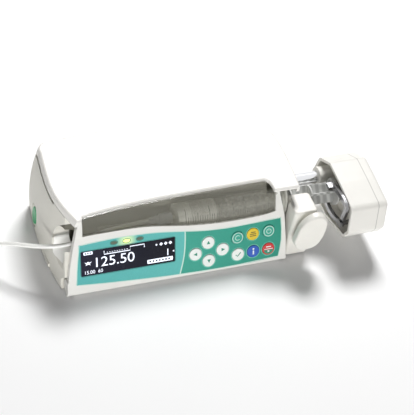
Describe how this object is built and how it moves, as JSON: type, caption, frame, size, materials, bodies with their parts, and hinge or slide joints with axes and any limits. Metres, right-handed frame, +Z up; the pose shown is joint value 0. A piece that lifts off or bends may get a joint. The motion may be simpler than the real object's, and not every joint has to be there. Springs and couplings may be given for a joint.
{
  "type": "syringe infusion pump",
  "caption": "Tabletop syringe pump with a hinged keypad door and window, a sliding drive head with plunger claws, a turning barrel clamp, a loaded syringe and its infusion line.",
  "frame": {"origin": "centre of the base, on the plane that the rubber feet stand on", "axes": "+X to the operator's right, along the syringe and the drive's travel; +Y to the back; +Z up"},
  "size_m": [0.3663, 0.133, 0.068],
  "materials": {
    "casing": "fine satin moulding texture",
    "door_plastic": "satin",
    "overlay": "semi-gloss printed film",
    "window": "smoked clear plastic",
    "display": "gloss",
    "display_core": "satin",
    "key_white": "satin",
    "key_green": "satin",
    "key_yellow": "satin",
    "key_blue": "satin",
    "key_red": "satin",
    "light_guide": "clear",
    "lock_green": "satin",
    "rubber": "matt",
    "stopper": "matt",
    "clear_barrel": "clear plastic",
    "rod_plastic": "translucent",
    "connector": "translucent",
    "tubing": "soft clear",
    "chrome": "polished",
    "dark_steel": "satin",
    "steel": "ground",
    "aluminium": "machined",
    "brass": "machined",
    "bronze": "sintered",
    "gear_plastic": "acetal",
    "chassis_plastic": "glass-filled",
    "board": "solder mask",
    "battery": "shrink wrap",
    "motor": "plated",
    "black_plastic": "satin"
  },
  "bodies": {
    "housing": {"base_shell": "casing", "left_end_cap": "casing", "top_cover": "casing", "rear_plate": "aluminium", "battery_cover": "casing", "battery_pack": "battery", "rubber_feet": "rubber", "housing_screws": "steel", "hinge_pins": "steel", "chassis": "chassis_plastic", "drive_bushing": "bronze", "guide_rod": "steel", "screw_bearings": "steel", "gear_motor": "motor", "main_board": "board", "speaker": "black_plastic", "rear_sockets": "black_plastic", "syringe_barrel": "clear_barrel", "luer_connector": "connector", "infusion_line": "tubing", "line_coil": "tubing", "line_end_connector": "connector", "holder_base": "casing"},
    "door": {"door_frame": "door_plastic", "door_window": "window", "keypad_overlay": "overlay", "display_glass": "display", "display_module": "display_core", "status_lights": "light_guide", "door_board": "board", "door_back_cover": "door_plastic"},
    "drive": {"drive_tube": "chrome", "carriage": "aluminium", "drive_nut": "brass", "head_housing": "casing", "head_cap": "casing", "pressure_plate": "dark_steel", "claw_pin": "dark_steel", "plunger_rod": "rod_plastic", "syringe_stopper": "stopper"},
    "claw_upper_arm": {"claw_upper": "dark_steel"},
    "claw_lower_arm": {"claw_lower": "dark_steel"},
    "lead_screw_set": {"lead_screw": "steel", "screw_gear": "gear_plastic"},
    "motor_rotor": {"motor_pinion": "brass"},
    "holder_plunger": {"holder_shaft": "steel"},
    "holder_handle": {"holder_paddle": "casing"},
    "rail_release": {"release_button": "lock_green"},
    "head_release": {"head_button": "casing"},
    "key_up": {"key_up": "key_white"},
    "key_left": {"key_left": "key_white"},
    "key_right": {"key_right": "key_white"},
    "key_down": {"key_down": "key_white"},
    "key_clear": {"key_clear": "key_green"},
    "key_bolus": {"key_bolus": "key_yellow"},
    "key_power": {"key_power": "key_green"},
    "key_ok": {"key_ok": "key_white"},
    "key_info": {"key_info": "key_blue"},
    "key_start_stop": {"key_start_stop": "key_red"}
  },
  "joints": [
    {"name": "door_hinge", "type": "hinge", "parent": "housing", "child": "door", "pos_m": [0, -0.0486, 0.0075], "axis": [1, 0, 0], "range_deg": [0, 95]},
    {"name": "drive_slide", "type": "slide", "parent": "housing", "child": "drive", "axis": [1, 0, 0], "range_m": [-0.0085, 0.048]},
    {"name": "lead_screw_spin", "type": "hinge", "parent": "housing", "child": "lead_screw_set", "pos_m": [0.03, 0.016, 0.039], "axis": [1, 0, 0], "range_deg": [-800, 4400]},
    {"name": "motor_spin", "type": "hinge", "parent": "housing", "child": "motor_rotor", "pos_m": [-0.036, 0.016, 0.023], "axis": [1, 0, 0], "range_deg": [-13200, 2400]},
    {"name": "claw_upper_swing", "type": "hinge", "parent": "drive", "child": "claw_upper_arm", "pos_m": [0.1383, -0.0505, 0.032], "axis": [1, 0, 0], "range_deg": [0, 14]},
    {"name": "claw_lower_swing", "type": "hinge", "parent": "drive", "child": "claw_lower_arm", "pos_m": [0.1383, -0.0505, 0.032], "axis": [1, 0, 0], "range_deg": [-14, 0]},
    {"name": "holder_pull", "type": "slide", "parent": "housing", "child": "holder_plunger", "axis": [0, -1, 0], "range_m": [0, 0.008], "stiffness_N_per_m": 800},
    {"name": "holder_turn", "type": "hinge", "parent": "holder_plunger", "child": "holder_handle", "pos_m": [0.1045, -0.055, 0.029], "axis": [0, 1, 0], "range_deg": [0, 90]},
    {"name": "rail_release_press", "type": "slide", "parent": "housing", "child": "rail_release", "axis": [1, 0, 0], "range_m": [0, 0.003], "stiffness_N_per_m": 1200},
    {"name": "head_release_press", "type": "slide", "parent": "drive", "child": "head_release", "axis": [0, -1, 0], "range_m": [0, 0.001], "stiffness_N_per_m": 1600},
    {"name": "key_up_press", "type": "slide", "parent": "door", "child": "key_up", "axis": [0, 0.9135, -0.4067], "range_m": [0, 0.0006], "stiffness_N_per_m": 3500},
    {"name": "key_left_press", "type": "slide", "parent": "door", "child": "key_left", "axis": [0, 0.9135, -0.4067], "range_m": [0, 0.0006], "stiffness_N_per_m": 3500},
    {"name": "key_right_press", "type": "slide", "parent": "door", "child": "key_right", "axis": [0, 0.9135, -0.4067], "range_m": [0, 0.0006], "stiffness_N_per_m": 3500},
    {"name": "key_down_press", "type": "slide", "parent": "door", "child": "key_down", "axis": [0, 0.9135, -0.4067], "range_m": [0, 0.0006], "stiffness_N_per_m": 3500},
    {"name": "key_clear_press", "type": "slide", "parent": "door", "child": "key_clear", "axis": [0, 0.9135, -0.4067], "range_m": [0, 0.0006], "stiffness_N_per_m": 3500},
    {"name": "key_bolus_press", "type": "slide", "parent": "door", "child": "key_bolus", "axis": [0, 0.9135, -0.4067], "range_m": [0, 0.0006], "stiffness_N_per_m": 3500},
    {"name": "key_power_press", "type": "slide", "parent": "door", "child": "key_power", "axis": [0, 0.9135, -0.4067], "range_m": [0, 0.0006], "stiffness_N_per_m": 3500},
    {"name": "key_ok_press", "type": "slide", "parent": "door", "child": "key_ok", "axis": [0, 0.9135, -0.4067], "range_m": [0, 0.0006], "stiffness_N_per_m": 3500},
    {"name": "key_info_press", "type": "slide", "parent": "door", "child": "key_info", "axis": [0, 0.9135, -0.4067], "range_m": [0, 0.0006], "stiffness_N_per_m": 3500},
    {"name": "key_start_stop_press", "type": "slide", "parent": "door", "child": "key_start_stop", "axis": [0, 0.9135, -0.4067], "range_m": [0, 0.0006], "stiffness_N_per_m": 3500}
  ],
  "couplings": [
    {"joint": "lead_screw_spin", "follows": "drive_slide", "rad_per_m": 1570.8},
    {"joint": "motor_spin", "follows": "drive_slide", "rad_per_m": -4712.4},
    {"joint": "claw_lower_swing", "follows": "claw_upper_swing", "ratio": -1}
  ]
}
